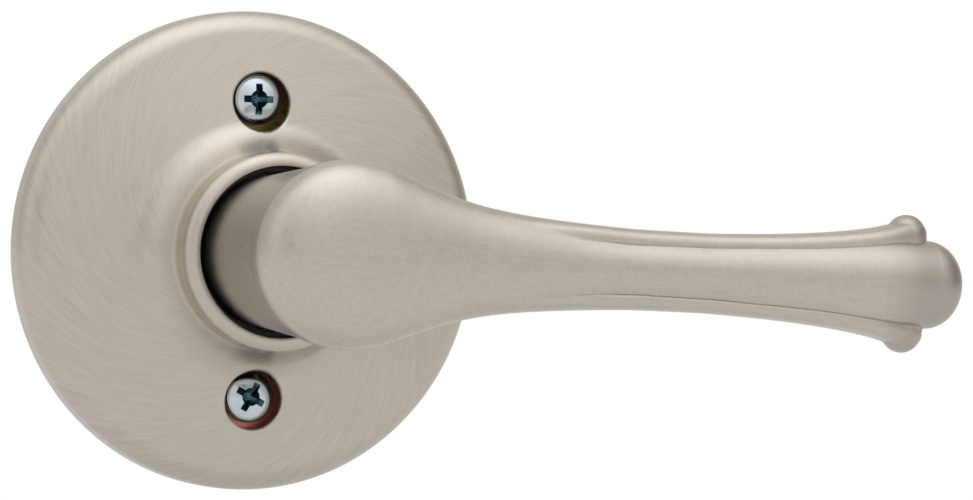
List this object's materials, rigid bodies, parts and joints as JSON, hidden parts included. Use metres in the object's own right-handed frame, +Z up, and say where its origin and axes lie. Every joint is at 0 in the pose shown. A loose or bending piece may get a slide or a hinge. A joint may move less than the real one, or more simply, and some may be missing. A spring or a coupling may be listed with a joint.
{
  "type": "door lever handle",
  "caption": "Interior door lever on a round rose: a sprung lever with a scrolled end turns a half-round spindle; long screws clamp the rose's hidden plate to the door.",
  "frame": {"origin": "centre of the rose's rear rim, on the lever's axis, in the plane of the door's face", "axes": "+X along the lever at rest, +Y into the door along the spindle, +Z up"},
  "size_m": [0.1231, 0.1035, 0.0666],
  "materials": {
    "satin_nickel": "satin nickel plate, brushed",
    "bright_zinc": "bright zinc plate, slightly blue",
    "yellow_zinc": "yellow chromate over zinc, iridescent",
    "cast_zinc": "bare zinc die casting, dull grey",
    "spring_steel": "oiled spring steel",
    "black_nylon": "black moulded nylon",
    "white_nylon": "natural moulded nylon"
  },
  "bodies": {
    "rose_assembly": {"rose_cover": "satin_nickel", "mounting_plate": "yellow_zinc", "bearing_housing": "cast_zinc", "housing_rivet_left": "bright_zinc", "housing_rivet_right": "bright_zinc", "return_spring": "spring_steel", "neck_bushing": "black_nylon", "upper_mounting_screw": "bright_zinc", "lower_mounting_screw": "bright_zinc", "thrust_washer": "white_nylon"},
    "lever": {"lever_handle": "satin_nickel", "neck_sleeve": "white_nylon", "drive_tube": "yellow_zinc", "spring_driver": "cast_zinc", "snap_ring": "spring_steel", "spindle_socket": "cast_zinc", "spindle_bar": "bright_zinc", "spindle_pin": "spring_steel", "catch_spring": "spring_steel"},
    "catch": {"lever_catch": "spring_steel"}
  },
  "joints": [
    {"name": "lever_turn", "type": "hinge", "parent": "rose_assembly", "child": "lever", "pos_m": [0, 0, 0], "axis": [0, 1, 0], "range_deg": [-50, 50], "stiffness_Nm_per_rad": 2.2, "deforming": ["return_spring"]},
    {"name": "catch_press", "type": "slide", "parent": "lever", "child": "catch", "axis": [0, 0, 1], "range_m": [0, 0.0036], "stiffness_N_per_m": 300, "deforming": ["catch_spring"]}
  ]
}
